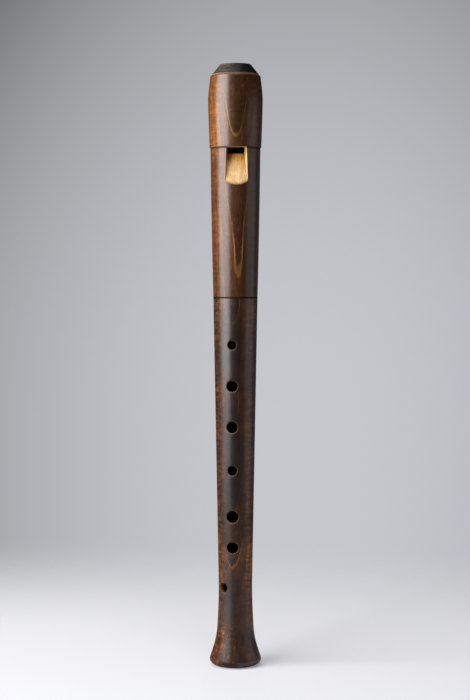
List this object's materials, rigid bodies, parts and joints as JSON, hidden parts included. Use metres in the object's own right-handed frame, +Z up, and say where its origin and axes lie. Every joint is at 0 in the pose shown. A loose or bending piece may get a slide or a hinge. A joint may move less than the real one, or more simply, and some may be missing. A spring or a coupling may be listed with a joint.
{
  "type": "alto recorder",
  "caption": "Two-part wooden alto recorder: head joint with beak, window and removable block on a cork-lapped tenon, and a tapering body with finger holes and a flared bell.",
  "frame": {"origin": "centre of the bell's foot ring, on the surface that the recorder stands on", "axes": "+Z up the bore from the bell to the beak; -Y the way the line of six finger holes faces; +X to the player's left as the player holds it"},
  "size_m": [0.0434, 0.0431, 0.48],
  "materials": {
    "stained_maple_body": "satin waxed dark brown stain over flamed maple",
    "stained_maple_head": "satin waxed reddish brown stain over maple, charcoal crown, raw maple in the window",
    "cedar": "planed and unvarnished",
    "cork": "matt granular cork, lightly greased"
  },
  "bodies": {
    "body": {"body_joint": "stained_maple_body"},
    "lapping": {"tenon_cork": "cork"},
    "head": {"head_joint": "stained_maple_head"},
    "fipple": {"block": "cedar"}
  },
  "joints": [
    {"name": "head_turn", "type": "hinge", "parent": "body", "child": "lapping", "pos_m": [0, 0, 0.2952], "axis": [0, 0, 1], "continuous": true},
    {"name": "head_slide", "type": "slide", "parent": "lapping", "child": "head", "axis": [0, 0, 1], "range_m": [0, 0.03]},
    {"name": "block_slide", "type": "slide", "parent": "head", "child": "fipple", "axis": [0, 0, 1], "range_m": [0, 0.07]}
  ]
}
